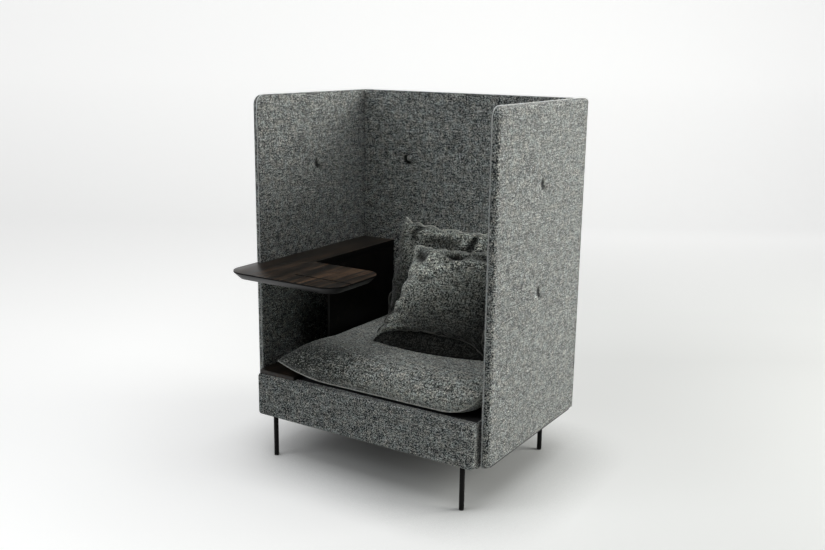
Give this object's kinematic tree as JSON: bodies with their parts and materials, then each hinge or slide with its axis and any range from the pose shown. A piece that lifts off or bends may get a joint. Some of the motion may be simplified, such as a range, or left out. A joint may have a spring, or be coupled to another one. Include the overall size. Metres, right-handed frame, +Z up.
{
  "type": "high back lounge chair",
  "caption": "High back lounge chair with padded acoustic panels on the sides and back, a loose seat cushion, pillows and a side table, on thin tube legs.",
  "frame": {"origin": "on the floor under the middle of the whole outline", "axes": "+X to the right seen from the front, +Y to the back, +Z up"},
  "size_m": [0.9956, 0.88, 1.35],
  "materials": {
    "panel_fabric": "woven melange wool in pale and dark grey, lightly fuzzed",
    "seat_fabric": "woven melange wool in pale and dark grey",
    "pillow_fabric": "soft chenille in mixed greys",
    "veneer": "smoked dark veneer with fine brown stripes, satin lacquer",
    "timber": "planed hardwood, unfinished",
    "black_metal": "black powder coat, fine texture",
    "bare_steel": "zinc plated steel",
    "felt": "pressed acoustic felt",
    "black_cloth": "non-woven black dust cloth",
    "webbing": "rubberised woven webbing",
    "black_plastic": "moulded nylon",
    "black_ply": "plywood strip stained black",
    "twine": "waxed tufting twine"
  },
  "bodies": {
    "chair": {"left_panel_cover": "panel_fabric", "left_panel_frame": "timber", "left_panel_infill": "felt", "left_panel_buttons": "panel_fabric", "right_panel_cover": "panel_fabric", "right_panel_frame": "timber", "right_panel_infill": "felt", "right_panel_buttons": "panel_fabric", "back_panel_cover": "panel_fabric", "back_panel_frame": "timber", "back_panel_infill": "felt", "back_panel_buttons": "panel_fabric", "panel_bottom_strips": "black_ply", "tufting_ties": "twine", "corner_studs": "bare_steel", "fascia_cover": "panel_fabric", "fascia_board": "timber", "fascia_screws": "bare_steel", "front_frame_rail": "timber", "rear_frame_rail": "timber", "side_frame_rails": "timber", "centre_rail": "timber", "corner_blocks": "timber", "side_skirts": "panel_fabric", "seat_webbing": "webbing", "deck_pad": "felt", "deck_cloth": "black_cloth", "dust_cover": "black_cloth", "panel_bolts": "bare_steel", "bolt_washers": "bare_steel", "spacer_sleeves": "black_plastic", "legs": "black_metal", "leg_plates": "black_metal", "leg_plate_screws": "bare_steel", "leg_studs": "bare_steel", "leg_glides": "black_plastic", "table_top": "veneer", "table_stiffener": "black_metal", "stiffener_screws": "bare_steel", "table_support": "veneer", "ledge_board": "veneer", "ledge_screws": "bare_steel", "shelf_brackets": "black_metal", "bracket_screws": "bare_steel"},
    "seat_cushion": {"seat_cushion": "seat_fabric"},
    "rear_pillow": {"rear_pillow": "pillow_fabric"},
    "front_pillow": {"front_pillow": "pillow_fabric"}
  },
  "joints": [
    {"name": "seat_cushion_lift", "type": "slide", "parent": "chair", "child": "seat_cushion", "axis": [0, 0, 1], "range_m": [0, 0.22]},
    {"name": "rear_pillow_lift", "type": "slide", "parent": "seat_cushion", "child": "rear_pillow", "axis": [0, 0, 1], "range_m": [0, 0.9]},
    {"name": "front_pillow_lift", "type": "slide", "parent": "rear_pillow", "child": "front_pillow", "axis": [0, 0, 1], "range_m": [0, 0.4]}
  ]
}
